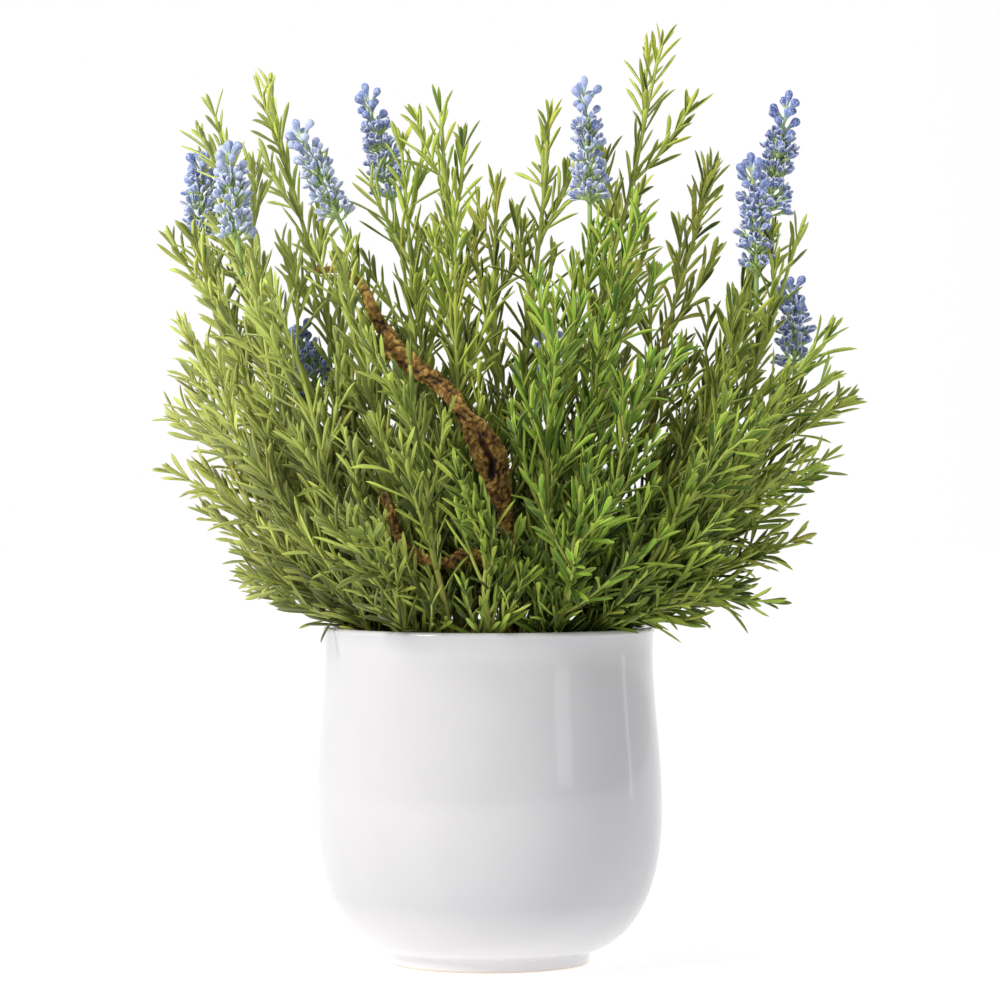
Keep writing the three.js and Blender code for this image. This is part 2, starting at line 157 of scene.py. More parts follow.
class Shape:
    """Gathers the points, four-sided faces, marks and bake-map cells of one piece."""

    def __init__(self):
        self.points, self.faces, self.marks, self.kinds, self.corners = [], [], [], [], []
        self.count = 0
        self.cells = 0

    def add(self, points, faces, marks, kind, corners, cells=1):
        """corners holds each face corner's place inside a cell, and the cell's number as a third value."""
        self.points.append(points)
        self.faces.append(faces + self.count)
        self.marks.append(marks)
        self.kinds.append(np.full(len(points), kind, float))
        moved = corners.copy()
        moved[..., 2] += self.cells
        self.corners.append(moved)
        self.count += len(points)
        self.cells += cells

    def add_rings(self, points, marks, kind=0.0):
        """Adds a closed skin whose points and marks are given ring by ring."""
        rings, sides = points.shape[:2]
        faces, corners = ring_faces(rings, sides), ring_corners(rings, sides)
        self.add(points.reshape(-1, 3), faces, marks.reshape(-1, 3), kind, corners)

    def to_object(self, name, materials, pick=None):
        """Makes the piece. pick chooses a material for each face from where the face's middle is."""
        points = np.concatenate(self.points)
        faces = np.concatenate(self.faces)
        mesh = bpy.data.meshes.new(name)
        mesh.vertices.add(len(points))
        mesh.vertices.foreach_set("co", points.ravel())
        mesh.loops.add(faces.size)
        mesh.loops.foreach_set("vertex_index", faces.ravel().astype(np.int32))
        mesh.polygons.add(len(faces))
        mesh.polygons.foreach_set("loop_start", np.arange(0, faces.size, 4, dtype=np.int32))
        mesh.polygons.foreach_set("use_smooth", np.ones(len(faces), bool))
        marks = mesh.attributes.new("marks", "FLOAT_VECTOR", "POINT")
        marks.data.foreach_set("vector", np.concatenate(self.marks).ravel())
        kinds = mesh.attributes.new("kind", "FLOAT", "POINT")
        kinds.data.foreach_set("value", np.concatenate(self.kinds))
        corners = np.concatenate(self.corners).reshape(-1, 3)
        side = math.ceil(math.sqrt(self.cells))
        margin = CELL_MARGIN if self.cells > 1 else LONE_CELL_MARGIN
        inside = margin + corners[:, :2] * (1 - 2 * margin)
        column = corners[:, 2] % side
        row = corners[:, 2] // side
        layout = np.stack([(column + inside[:, 0]) / side, (row + inside[:, 1]) / side], axis=1)
        mesh.uv_layers.new(name="OFBake").data.foreach_set("uv", layout.ravel())
        for material in materials:
            mesh.materials.append(material)
        if pick is not None:
            mesh.polygons.foreach_set("material_index", pick(points[faces].mean(axis=1)).astype(np.int32))
        mesh.update(calc_edges=True)
        mesh.validate()
        made = bpy.data.objects.new(name, mesh)
        scene.collection.objects.link(made)
        return made


def ring_faces(rings, sides):
    """Faces of a closed skin over rings of points, with both end rings capped."""
    ring, side = np.meshgrid(np.arange(rings - 1), np.arange(sides), indexing="ij")
    here = ring * sides + side
    beside = ring * sides + (side + 1) % sides
    walls = np.stack([here, beside, beside + sides, here + sides], axis=-1).reshape(-1, 4)
    fold = np.arange(sides // 2 - 1)
    low_cap = np.stack([sides - 1 - fold, sides - 2 - fold, fold + 1, fold], axis=-1)
    high_cap = low_cap[:, ::-1] + (rings - 1) * sides
    return np.concatenate([walls, low_cap, high_cap])


def ring_corners(rings, sides):
    """Places of ring_faces' corners in one cell: round the skin, then along it. Caps lie on its edges."""
    ring, side = np.meshgrid(np.arange(rings - 1), np.arange(sides), indexing="ij")
    across = np.stack([side, side + 1, side + 1, side], axis=-1).reshape(-1, 4) / sides
    along = np.stack([ring, ring, ring + 1, ring + 1], axis=-1).reshape(-1, 4) / (rings - 1)
    walls = np.stack([across, along, np.zeros_like(along)], axis=-1)
    fold = np.arange(sides // 2 - 1)
    cap = np.stack([sides - 1 - fold, sides - 2 - fold, fold + 1, fold], axis=-1) / sides
    low = np.stack([cap, np.zeros_like(cap), np.zeros_like(cap)], axis=-1)
    high = np.stack([cap[:, ::-1], np.ones_like(cap), np.zeros_like(cap)], axis=-1)
    return np.concatenate([walls, low, high])


def carried_frames(path):
    """Tangents of a path and two directions across it that turn as little as they can."""
    tangents = unit(np.gradient(path, axis=0))
    sides = np.empty_like(path)
    start = np.cross(tangents[0], (0.0, 0.0, 1.0))
    if np.linalg.norm(start) < 0.1:
        start = np.cross(tangents[0], (0.0, 1.0, 0.0))
    sides[0] = unit(start)
    for i in range(1, len(path)):
        across = sides[i - 1] - tangents[i] * np.dot(sides[i - 1], tangents[i])
        sides[i] = unit(across)
    return tangents, sides, np.cross(tangents, sides)


def round_about(across, upward, turn):
    """The direction at an angle round a stem, from two directions across it."""
    return across * math.cos(turn) + upward * math.sin(turn)


def unit_circles(across, upward, turn):
    """A circle of directions round each point of a path, at the angles in turn."""
    return np.cos(turn)[None, :, None] * across[:, None] + np.sin(turn)[None, :, None] * upward[:, None]


def turns(sides):
    return np.linspace(0, 2 * math.pi, sides, endpoint=False)


def distances(path):
    """How far along a path each of its points is."""
    return np.concatenate([[0], np.cumsum(np.linalg.norm(np.diff(path[:, :3], axis=0), axis=1))])


def even_path(rows, count):
    """The same path with its points at even distances. Values after x, y and z are carried along."""
    travelled = distances(rows)
    wanted = np.linspace(0, travelled[-1], count)
    return np.stack([np.interp(wanted, travelled, column) for column in rows.T], axis=1)


def bent_path(start, bend, end, count):
    """A path that leaves its start towards the bend and comes to its end from there."""
    share = np.linspace(0, 1, count)[:, None]
    path = (1 - share) ** 2 * start + 2 * share * (1 - share) * bend + share**2 * end
    return even_path(path, count)


def smooth_path(rows, count):
    """A rounded path through rows of x, y, z and radius, with the radius carried along."""
    rows = np.array(rows, float)
    padded = np.concatenate([[2 * rows[0] - rows[1]], rows, [2 * rows[-1] - rows[-2]]])
    pieces = []
    for a, b, c, d in zip(padded, padded[1:], padded[2:], padded[3:]):
        t = np.linspace(0, 1, CURVE_STEPS, endpoint=False)[:, None]
        square, cube = 2 * a - 5 * b + 4 * c - d, 3 * b - a - 3 * c + d
        pieces.append(0.5 * (2 * b + (c - a) * t + square * t**2 + cube * t**3))
    return even_path(np.concatenate([*pieces, rows[-1:]]), count)


def add_tube(shape, path, radii, sides, tone, kind, along=(0.0, 1.0)):
    """A round closed stem along a path. kind is 1 for stems and 0 for the rest."""
    _, across, upward = carried_frames(path)
    points = path[:, None] + unit_circles(across, upward, turns(sides)) * radii[:, None, None]
    marks = np.zeros((len(path), sides, 3))
    marks[..., 0] = tone
    marks[..., 1] = np.linspace(*along, len(path))[:, None]
    shape.add_rings(points, marks, kind)


# ---------------------------------------------------------------- blades: leaves and petals
class Blade:
    """The form that every leaf, or every petal, shares: a section folded along the midrib, ring by ring."""

    def __init__(self, section, rings):
        self.section = np.array(section, float)  # across, up, and how near the margin, in half widths
        self.rings = np.array(rings, float)  # share of the length, share of the width, depth of the fold
        self.faces = ring_faces(len(rings), len(section))
        self.corners = ring_corners(len(rings), len(section))

    def add_to(self, shape, rows, curl, twist):
        """Adds a blade for each row: its root, direction and upper side, then its length, width and tone."""
        roots, along, upper = rows[:, 0:3], rows[:, 3:6], rows[:, 6:9]
        length, width, tone = rows[:, 9:12].T
        count, sides = len(rows), len(self.section)
        share = self.rings[None, :, 0, None]
        across = np.cross(along, upper)
        reach = share * length[:, None, None]
        bow = curl[:, None, None]
        spine = roots[:, None] + along[:, None] * reach - upper[:, None] * (bow * share * reach)
        lift = unit(upper[:, None] + along[:, None] * (2 * bow * share))
        angle = twist[:, None, None] * share
        wide = across[:, None] * np.cos(angle) + lift * np.sin(angle)
        high = lift * np.cos(angle) - across[:, None] * np.sin(angle)
        half = 0.5 * width[:, None] * self.rings[None, :, 1]
        x = self.section[None, None, :, 0] * half[..., None]
        z = self.section[None, None, :, 1] * half[..., None] * self.rings[None, :, 2, None]
        points = spine[:, :, None] + wide[:, :, None] * x[..., None] + high[:, :, None] * z[..., None]
        marks = np.empty((count, len(self.rings), sides, 3))
        marks[..., 0] = tone[:, None, None]
        marks[..., 1] = self.rings[None, :, 0, None]
        marks[..., 2] = self.section[None, None, :, 2]
        size = len(self.rings) * sides
        faces = (self.faces[None] + np.arange(count)[:, None, None] * size).reshape(-1, 4)
        corners = np.repeat(self.corners[None], count, axis=0)
        corners[..., 2] += np.arange(count)[:, None, None]
        corners = corners.reshape(-1, 4, 3)
        shape.add(points.reshape(-1, 3), faces, marks.reshape(-1, 3), 0.0, corners, count)


# A leaf is folded into a shallow trough. It is narrow at its root, widest past the middle and ends in
# a blunt point.
LEAF = Blade(
    section=[
        (-1.0, 0.58, 1.0),
        (-0.55, 0.28, 0.3),
        (0.0, 0.02, 0.0),
        (0.55, 0.28, 0.3),
        (1.0, 0.58, 1.0),
        (0.62, 0.04, 0.45),
        (0.0, -0.4, 0.1),
        (-0.62, 0.04, 0.45),
    ],
    rings=[
        (0.0, 0.4, 1.5),
        (0.1, 0.5, 1.4),
        (0.3, 0.72, 1.15),
        (0.5, 0.9, 1.0),
        (0.7, 1.0, 0.95),
        (0.83, 0.84, 0.95),
        (0.92, 0.54, 0.95),
        (0.97, 0.28, 0.9),
        (1.0, 0.06, 0.8),
    ],
)


# ---------------------------------------------------------------- sprigs
LEAF_WIDTH = 2.2 * MM
LEAF_LENGTH = 19 * MM
LEAF_SPREAD = 30  # degrees off the stem, lower down
NODE_GAP = 6.2 * MM  # between one pair of leaves and the next
THREES_SHARE = 0.4  # of the nodes carry three leaves and the rest carry two
YOUNG_LEAF_SHARE = 0.38  # of the leaves have a small young one inside them
TIP_GAP = 1.5 * MM  # from the last pair to the stem's tip
LEAF_START, SHOOT_LEAF_START = 0.1, 0.2  # where the leaves begin, as a share of the stem
SHOOT_LEAF_SCALE = 0.88
STEM_RADII = (1.5, 0.65)  # at the foot and at the tip, in millimetres
SHOOT_RADII = (0.75, 0.45)
STEM_WAVER = 1.6 * MM
STEM_STEPS, SHOOT_STEPS = 60, 14
SHOOT_TRIES = 6  # to find room for a shoot
SHOOT_LENGTHS, SHOOT_SLANTS = (38, 62), (22, 40)  # millimetres at the foot of a sprig, and degrees
# Ranges for a leaf's lean, length and width, a young leaf's length, and a tuft's leaves. All but
# TUFT_LEANS, in degrees, are shares of the usual leaf.
LEANS, LENGTHS, WIDTHS, YOUNG_LENGTHS = (0.55, 1.35), (0.66, 1.1), (0.75, 1.18), (0.4, 0.65)
TUFT_LEANS, TUFT_LENGTHS = (6, 30), (0.4, 0.72)
YOUNG_LEAN, YOUNG_WIDTH, TUFT_WIDTH = 0.45, 0.72 * LEAF_WIDTH, 0.75 * LEAF_WIDTH
SHOOT_SHARES = (0.07, 0.13, 0.2, 0.27, 0.34, 0.42, 0.5, 0.59, 0.68, 0.78, 0.88)
GOLDEN_ANGLE = math.radians(137.5)
WALL_GAP, OUTER_GAP, RIM_GAP, SOIL_GAP = 1.2 * MM, 1.0 * MM, 0.6 * MM, 0.5 * MM  # kept free of leaves
DEEP_SPIKES = (7, 8)  # flowering sprigs whose spikes show between the leaves
SPIKE_VIEW = 5.0  # half the width that such a spike shows, in millimetres
PARTED_SHARE = 0.75  # of the leaves that would hide the wood or a deep spike


class Growth:
    """The leaves of one sprig, gathered from its stem and shoots before they are made."""

    def __init__(self, rng):
        self.rng = rng
        self.rows = []

    def leaf(self, point, tangent, outward, tilt, length, width):
        """One leaf, leaning outward from a stem by tilt, with its upper face towards the stem."""
        along = tangent * math.cos(tilt) + outward * math.sin(tilt)
        upper = tangent * math.sin(tilt) - outward * math.cos(tilt)
        middle, tip = point + along * length * 0.4, point + along * length
        parted = self.rng.random() < PARTED_SHARE and hides_view(np.stack([middle, tip]))
        if clear_of_pot(np.stack([middle, tip])) and not parted:
            self.rows.append((*point, *along, *upper, length, width, self.rng.random()))


def clear_of_pot(points):
    """Whether every point keeps clear of the pot's wall and rim and of the soil."""
    out = np.hypot(points[..., 0], points[..., 1])
    over_wall = (out > POT_INSIDE - WALL_GAP) & (out < BELLY_RADIUS + OUTER_GAP)
    in_wall = over_wall & (points[..., 2] < POT_TOP + RIM_GAP)
    in_soil = (out <= POT_INSIDE) & (points[..., 2] < SOIL_TOP + SOIL_GAP)
    return not np.any(in_wall | in_soil)


def in_view():
    """What shows from the front between the leaves, as rows of x, depth, height and half width."""
    rows = [smooth_path(TRUNK[2:6], 20), smooth_path(TRUNK[6:10], 20), smooth_path(TRUNK_BRANCH[1:], 24)]
    for spike in DEEP_SPIKES:
        x, depth, height, _, _, length, lean, _ = FLOWERING_SPRIGS[spike][2:]
        for share in np.linspace(0.4, 1, 12):
            across = share * length * math.sin(math.radians(lean))
            up = share * length * math.cos(math.radians(lean))
            rows.append([(x + across, depth, height + up, SPIKE_VIEW)])
    return np.concatenate(rows) * MM


IN_VIEW = in_view()


def hides_view(points):
    """Whether any point stands in front of the wood or of a flower spike, where the leaves part."""
    away = np.hypot(points[:, None, 0] - IN_VIEW[:, 0], points[:, None, 2] - IN_VIEW[:, 2])
    return bool(np.any((away < IN_VIEW[:, 3]) & (points[:, None, 1] < IN_VIEW[:, 1])))


def sprout_leaves(growth, path, radii, first, size, phase):
    """Pairs and threes of leaves up a stem, with young leaves between them and a tuft at the tip.

    Each pair is turned from the last by a quarter.
    """
    rng = growth.rng
    tangents, across, upward = carried_frames(path)
    total = np.linalg.norm(np.diff(path, axis=0), axis=1).sum()
    place, pair = first * total, 0
    while place < total - TIP_GAP:
        share = place / total
        index = share * (len(path) - 1)
        at = int(index)
        point = path[at] + (path[min(at + 1, len(path) - 1)] - path[at]) * (index - at)
        leaves = 3 if rng.random() < THREES_SHARE else 2
        start = phase + pair * math.pi / 2 + rng.normal(0, 0.25)
        for k in range(leaves):
            outward = round_about(across[at], upward[at], start + k * 2 * math.pi / leaves)
            tilt = math.radians(LEAF_SPREAD * (1.1 - 0.3 * share) * rng.uniform(*LEANS))
            length = size * (1.1 - 0.35 * share**2) * rng.uniform(*LENGTHS)
            width = LEAF_WIDTH * rng.uniform(*WIDTHS)
            growth.leaf(point + outward * radii[at] * 0.5, tangents[at], outward, tilt, length, width)
            if rng.random() < YOUNG_LEAF_SHARE:
                length *= rng.uniform(*YOUNG_LENGTHS)
                growth.leaf(point, tangents[at], outward, tilt * YOUNG_LEAN, length, YOUNG_WIDTH)
        place += NODE_GAP * (0.8 + 0.45 * share) * rng.uniform(0.85, 1.2)
        pair += 1
    tuft = rng.integers(3, 5)
    for k in range(tuft):
        outward = round_about(across[-1], upward[-1], phase + k * 2 * math.pi / tuft + rng.normal(0, 0.2))
        tilt = math.radians(rng.uniform(*TUFT_LEANS))
        length = size * rng.uniform(*TUFT_LENGTHS)
        growth.leaf(path[-1] - tangents[-1] * TIP_GAP, tangents[-1], outward, tilt, length, TUFT_WIDTH)


def stem_path(row):
    """A sprig's stem, from its row in the table."""
    foot_x, foot_y, x, y, z, bow = row[:6]
    foot, tip = np.array((foot_x, foot_y, PLANTED_AT), float), np.array((x, y, z), float)
    reach = tip - foot
    bend = foot + reach / 2 + reach * np.array((1, 1, -1)) * bow
    return bent_path(foot, bend, tip, STEM_STEPS) * MM


def waver(path, rng, depth):
    """A slight natural waver that leaves both ends where they are."""
    _, across, upward = carried_frames(path)
    share = np.linspace(0, 1, len(path))
    calm = np.sin(math.pi * share)
    first = calm * np.sin(share * rng.uniform(7, 12) + rng.uniform(0, 6))
    second = calm * np.sin(share * rng.uniform(7, 12) + rng.uniform(0, 6))
    return path + depth * (first[:, None] * across + second[:, None] * upward)


def shoot_path(stem, share, turn, rng):
    """A side shoot that leaves the stem at a slant and then rises beside it."""
    tangents, across, upward = carried_frames(stem)
    total = np.linalg.norm(np.diff(stem, axis=0), axis=1).sum()
    at = int(share * (len(stem) - 1))
    outward = round_about(across[at], upward[at], turn)
    slant = math.radians(rng.uniform(*SHOOT_SLANTS))
    length = min(rng.uniform(*SHOOT_LENGTHS) * MM * (1.2 - 0.75 * share), 0.45 * total)
    away = tangents[at] * math.cos(slant) + outward * math.sin(slant)
    later = tangents[at] * math.cos(slant * 0.4) + outward * math.sin(slant * 0.4)
    knee = stem[at] + away * length * 0.5
    return bent_path(stem[at], knee, knee + later * length * 0.5, SHOOT_STEPS)


def grow_shoot(shape, growth, stem, share, first_turn):
    """A side shoot with its leaves, turned round the stem until it has room."""
    rng = growth.rng
    for attempt in range(SHOOT_TRIES):
        shoot = shoot_path(stem, share, (first_turn + 2 * attempt) * GOLDEN_ANGLE, rng)
        if clear_of_pot(shoot[2:]) and not hides_view(shoot[6:]):
            radii = np.linspace(*SHOOT_RADII, len(shoot)) * MM
            add_tube(shape, shoot, radii, 6, rng.random(), 1.0, (0.6, 1.0))
            size = LEAF_LENGTH * SHOOT_LEAF_SCALE
            sprout_leaves(growth, shoot, radii, SHOOT_LEAF_START, size, rng.uniform(0, 3))
            return


def grow_sprig(index, row, material):
    """One sprig: its stem, its shoots and all their leaves, in one piece."""
    rng = np.random.default_rng(SEED + index)
    shape, growth = Shape(), Growth(rng)
    path = waver(stem_path(row), rng, STEM_WAVER)
    radii = np.linspace(*STEM_RADII, len(path)) * MM
    add_tube(shape, path, radii, 8, rng.random(), 1.0)
    sprout_leaves(growth, path, radii, LEAF_START, LEAF_LENGTH, rng.uniform(0, 3))
    for k, share in enumerate(SHOOT_SHARES):
        grow_shoot(shape, growth, path, share, index + k)
    rows = np.array(growth.rows)
    LEAF.add_to(shape, rows, curl=rng.normal(0.03, 0.11, len(rows)), twist=rng.normal(0, 0.5, len(rows)))
    number = f"{index + 1:02d}"
    piece = shape.to_object(f"rosemary_sprig_{number}", [material])
    paint_all(piece, "fresh", row[6])
    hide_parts(f"sprig_{number}")
    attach(piece, "root")


def paint_all(piece, name, value):
    """Gives every point of a piece one value that its material reads."""
    marks = piece.data.attributes.new(name, "FLOAT", "POINT")
    marks.data.foreach_set("value", np.full(len(piece.data.vertices), value, np.float32))


# ---------------------------------------------------------------- flower spikes
# A petal is a small plump spoon: a narrow claw at its root and a broad rounded lip.
PETAL = Blade(
    section=[
        (-1.0, 0.35, 1.0),
        (-0.55, 0.2, 0.35),
        (0.0, 0.1, 0.0),
        (0.55, 0.2, 0.35),
        (1.0, 0.35, 1.0),
        (0.68, -0.3, 0.4),
        (0.0, -0.55, 0.1),
        (-0.68, -0.3, 0.4),
    ],
    rings=[
        (0.0, 0.3, 1.3),
        (0.25, 0.42, 1.3),
        (0.5, 0.82, 1.1),
        (0.7, 1.0, 1.0),
        (0.85, 0.9, 1.0),
        (0.95, 0.58, 0.9),
        (1.0, 0.2, 0.8),
    ],
)
SPIKE_TIP_GAP = 1.3  # between the sprig's tip and the spike's base
SPIKE_SINK = 2.0  # how far the stalk reaches back into the tuft of leaves
SPIKE_STALK = 0.28  # the share of a spike's length that is bare stalk
SPIKE_BLOOM_END = 0.66
SPIKE_STEM_END = 0.9
SPIKE_STEM_RADII = (1.05, 0.45)  # at the foot and at the tip, in millimetres
SPIKE_STEM_STEPS = 24
WHORL_GAP = 4.3 * MM
WHORL_TURN = 0.63  # radians from one whorl to the next
FLORETS = 6  # in a whorl
BUDS = 11
BUD_SIDES = 12
BUD_RIBS, BUD_RIB_DEPTH = 4, 0.09
BUD_SHARES = np.array((0.0, 0.25, 0.38, 0.5, 0.62, 0.72, 0.81, 0.9, 0.97, 1.0))  # of its length
BUD_SWELL = np.array((0.2, 0.22, 0.3, 0.46, 0.7, 0.92, 1.0, 0.86, 0.5, 0.18))  # of its radius
CUP_RADII = np.array((0.4, 0.4, 0.45, 0.6, 0.85, 0.6)) * MM  # along a floret's stalk and cup
CLUB_RADII = np.array((0.25, 0.35, 0.6, 0.55, 0.15)) * MM
CLUB_LENGTH = 2.6 * MM
# Ranges, in millimetres and degrees.
STALKS, STALK_LEANS = (3.6, 6.2), (52, 80)
PETAL_LENGTHS, PETAL_WIDTHS, PETAL_LEANS = (4.2, 5.8), (2.0, 2.7), (14, 44)
BUD_LENGTHS, BUD_RADII, BUD_LEANS = (7.2, 9.6), (1.6, 1.95), (30, 58)
TIP_BUD_SINK, TIP_BUD_RADIUS = 3 * MM, 1.7 * MM


def fanned(axis, across, upward, tilt, turn):
    """A direction that leans off an axis, and the direction straight out from the axis on that side."""
    outward = round_about(across, upward, turn)
    return axis * math.cos(tilt) + outward * math.sin(tilt), outward


def axes_of(axis):
    """Two directions across an axis."""
    helper = np.array((0.0, 1.0, 0.0)) if abs(axis[1]) < 0.8 else np.array((1.0, 0.0, 0.0))
    across = unit(np.cross(axis, helper))
    return across, np.cross(axis, across)


def add_floret(shape, petals, rng, base, outward, face, stalk):
    """A small open flower on a stalk that turns towards face: a green cup, petals and a pale club inside."""
    tone = rng.random()
    mouth = base + outward * stalk * 0.6 + face * stalk * 0.4
    path = bent_path(base, base + outward * stalk * 0.6, mouth, len(CUP_RADII))
    add_tube(shape, path, CUP_RADII, 6, tone, 1.0)
    across, upward = axes_of(face)
    count = rng.integers(3, 6)
    phase = rng.uniform(0, 6)
    for k in range(count):
        turn = phase + k * 2 * math.pi / count
        direction, side = fanned(face, across, upward, math.radians(rng.uniform(*PETAL_LEANS)), turn)
        upper = unit(face - direction * np.dot(face, direction))
        root = mouth - face * 0.5 * MM + side * 0.35 * MM
        length, width = rng.uniform(*PETAL_LENGTHS) * MM, rng.uniform(*PETAL_WIDTHS) * MM
        petals.append((*root, *direction, *upper, length, width, rng.random()))
    club = np.linspace(mouth, mouth + face * CLUB_LENGTH, len(CLUB_RADII))
    add_tube(shape, club, CLUB_RADII, 6, tone, 1.0)


def add_bud(shape, rng, base, axis, length, radius):
    """A closed bud like a small club: a green stalk that swells into an egg-shaped blue head."""
    path = base + axis * (BUD_SHARES * length)[:, None]
    _, across, upward = carried_frames(path)
    turn = turns(BUD_SIDES)
    ribs = np.sin(BUD_RIBS * turn + rng.uniform(0, 6))
    reach = BUD_SWELL[:, None] * (1 + BUD_RIB_DEPTH * ribs)[None] * radius
    marks = np.zeros((len(path), BUD_SIDES, 3))
    marks[..., 0] = rng.random()
    marks[..., 1] = BUD_SHARES[:, None] * 0.85  # short of a petal's frosted tip
    marks[..., 2] = 0.3 + 0.35 * ribs[None]  # frosted along the ribs, as a petal is at its margin
    shape.add_rings(path[:, None] + unit_circles(across, upward, turn) * reach[..., None], marks)


def add_whorl(shape, petals, rng, at, axis, turned, share):
    """A loose ring of florets, some a little higher than others. The florets lower down stand out further."""
    across, upward = axes_of(axis)
    for k in range(FLORETS):
        root = at + axis * rng.uniform(-0.4, 0.4) * WHORL_GAP
        turn = turned + k * 2 * math.pi / FLORETS + rng.normal(0, 0.15)
        tilt = math.radians(rng.uniform(*STALK_LEANS) * (1 - 0.2 * share))
        outward, _ = fanned(axis, across, upward, tilt, turn)
        face, _ = fanned(axis, across, upward, tilt * rng.uniform(0.55, 0.85), turn)
        stalk = rng.uniform(*STALKS) * MM * (1 - 0.15 * share)
        add_floret(shape, petals, rng, root, outward, face, stalk)


def grow_spike(index, row, material):
    """One flower spike above its sprig's tip: a stalk, whorls of florets, and buds up to the tip."""
    rng = np.random.default_rng(SPIKE_SEED + index)
    shape, petals = Shape(), []
    x, y, z, _, _, height, lean_degrees, pale = row[2:]
    lean = math.radians(lean_degrees)
    length = (height + SPIKE_TIP_GAP + SPIKE_SINK) * MM
    axis = np.array((math.sin(lean), 0.0, math.cos(lean)))
    base = np.array((x, y, z), float) * MM - axis * SPIKE_SINK * MM
    across, upward = axes_of(axis)
    count = SPIKE_STEM_STEPS
    stem = np.linspace(base, base + axis * length * SPIKE_STEM_END, count)
    stem = stem + across * np.sin(np.linspace(0, math.pi, count))[:, None] * rng.uniform(-1, 1) * MM
    add_tube(shape, stem, np.linspace(*SPIKE_STEM_RADII, count) * MM, 8, 0.5, 1.0)
    whorls = max(4, round(length * (SPIKE_BLOOM_END - SPIKE_STALK) / WHORL_GAP) + 1)
    for whorl in range(whorls):
        share = whorl / (whorls - 1)
        place = SPIKE_STALK + (SPIKE_BLOOM_END - SPIKE_STALK) * share
        at = stem[min(count - 1, round(place / SPIKE_STEM_END * (count - 1)))]
        add_whorl(shape, petals, rng, at, axis, whorl * WHORL_TURN, share)
    for k in range(BUDS):
        place = SPIKE_BLOOM_END + (SPIKE_STEM_END - 0.02 - SPIKE_BLOOM_END) * k / (BUDS - 1)
        root = stem[round(place / SPIKE_STEM_END * (count - 1))]
        tilt = math.radians(rng.uniform(*BUD_LEANS))
        direction, _ = fanned(axis, across, upward, tilt, k * GOLDEN_ANGLE)
        add_bud(shape, rng, root, direction, rng.uniform(*BUD_LENGTHS) * MM, rng.uniform(*BUD_RADII) * MM)
    tip_length = length * (1 - SPIKE_STEM_END) + TIP_BUD_SINK
    add_bud(shape, rng, stem[-1] - axis * TIP_BUD_SINK, axis, tip_length, TIP_BUD_RADIUS)
    rows = np.array(petals)
    PETAL.add_to(shape, rows, curl=rng.normal(-0.12, 0.1, len(rows)), twist=rng.normal(0, 0.2, len(rows)))
    number = f"{index + 1:02d}"
    piece = shape.to_object(f"blue_spike_{number}", [material])
    paint_all(piece, "pale", pale)
    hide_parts(f"flower_spike_{number}")
    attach(piece, "root")


# ---------------------------------------------------------------- pot
FOOT_RADIUS, FOOT_HEIGHT, NECK_HEIGHT = 41.0, 5.0, 126.0  # in millimetres
LIP_ROUND = 1.5
HAIR = 0.3  # a closed skin starts and ends this far off the axis
TURNED_SIDES = 192


def cubic(a, b, c, d, count):
    """A curve from a to d that leaves and comes in by way of b and c."""
    t = np.linspace(0, 1, count)[:, None]
    a, b, c, d = (np.array(p, float) for p in (a, b, c, d))
    return (1 - t) ** 3 * a + 3 * t * (1 - t) ** 2 * b + 3 * t**2 * (1 - t) * c + t**3 * d


def arc(centre, radius, start, end, count):
    """Points round a centre, from one angle to another in degrees."""
    angle = np.radians(np.linspace(start, end, count))
    return np.stack([centre[0] + radius * np.cos(angle), centre[1] + radius * np.sin(angle)], axis=1)


def pot_profile():
    """The pot's outline in millimetres, from the middle of its underside round the lip to its inner floor."""
    belly, neck, lip, wall = BELLY_RADIUS / MM, NECK_RADIUS / MM, LIP_RADIUS / MM, WALL / MM
    lip_height = POT_TOP / MM - LIP_ROUND
    recess = [(HAIR, 2.2), (30, 2.2), (33.5, 2.0), (34.6, 0.9), (35.6, 0.15)]
    standing_ring = [(36.5, 0.0), (38.6, 0.0), *arc((39.1, 1.1), 1.1, -90, 0, 5)]
    step = [(40.5, 3.0), (40.8, 4.2), (41.3, 4.8)]
    foot_edge, flare = (FOOT_RADIUS + 1.2, FOOT_HEIGHT), (FOOT_RADIUS * 1.43, FOOT_HEIGHT * 2)
    body = cubic(foot_edge, flare, (belly, 30), (belly, 60), 40)
    shoulder = cubic((belly, 60), (belly, 85), (neck, 104.2), (neck, NECK_HEIGHT), 24)
    outer = np.concatenate([body, shoulder[1:]])
    lip_out = arc((lip - LIP_ROUND, lip_height), LIP_ROUND, -40, 90, 10)
    lip_in = arc((lip - wall + LIP_ROUND, lip_height), LIP_ROUND, 90, 180, 8)
    inner = np.stack([outer[::-1, 0] - wall, outer[::-1, 1]], axis=1)
    inner = inner[inner[:, 1] > 14]  # the floor starts below this
    floor = [(48, 8.6), (30, 7.0), (HAIR, 7.0)]
    return np.concatenate([recess, standing_ring, step, outer, lip_out, lip_in, inner, floor])


def is_bare(centres):
    """Which faces are on the standing ring, where the glaze is wiped off."""
    radius = np.hypot(centres[:, 0], centres[:, 1])
    return (centres[:, 2] < 0.8 * MM) & (radius > 34.5 * MM) & (radius < 42 * MM)


def make_pot(glaze, bare_clay):
    """The pot: a foot ring left bare where it stands, a stepped foot, a round belly and a soft lip."""
    profile = pot_profile() * MM
    radius, height = profile[:, 0][:, None], profile[:, 1][:, None]
    turn = turns(TURNED_SIDES)
    height = np.broadcast_to(height, (len(profile), TURNED_SIDES))
    points = np.stack([radius * np.cos(turn), radius * np.sin(turn), height], axis=-1)
    shape = Shape()
    shape.add_rings(points, np.zeros_like(points))
    piece = shape.to_object("glazed_pot", [glaze, bare_clay], is_bare)
    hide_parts("pot")
    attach(piece, "root")


